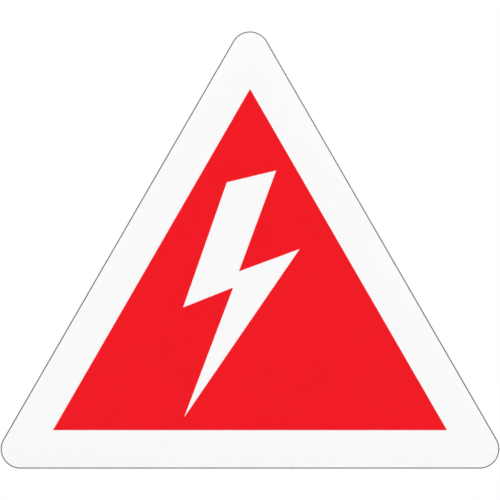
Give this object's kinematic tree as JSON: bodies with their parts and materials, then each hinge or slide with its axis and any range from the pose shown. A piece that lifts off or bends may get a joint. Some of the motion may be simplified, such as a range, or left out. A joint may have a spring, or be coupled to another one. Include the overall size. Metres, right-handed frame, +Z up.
{
  "type": "high voltage warning sign",
  "caption": "Triangular warning plate with rounded corners, a white face and border, and a red field cut through by a white lightning flash.",
  "frame": {"origin": "centre of the triangle, on the flat back face", "axes": "+Z up towards the apex, +X to the reader's right, -Y out of the printed face, +Y into whatever the sign is fixed to"},
  "size_m": [0.3048, 0.0017, 0.2672],
  "materials": {
    "white_enamel": "satin",
    "red_film": "satin",
    "bare_aluminium": "satin"
  },
  "bodies": {
    "root": {"plate": "white_enamel", "red_field": "red_film"}
  },
  "joints": []
}
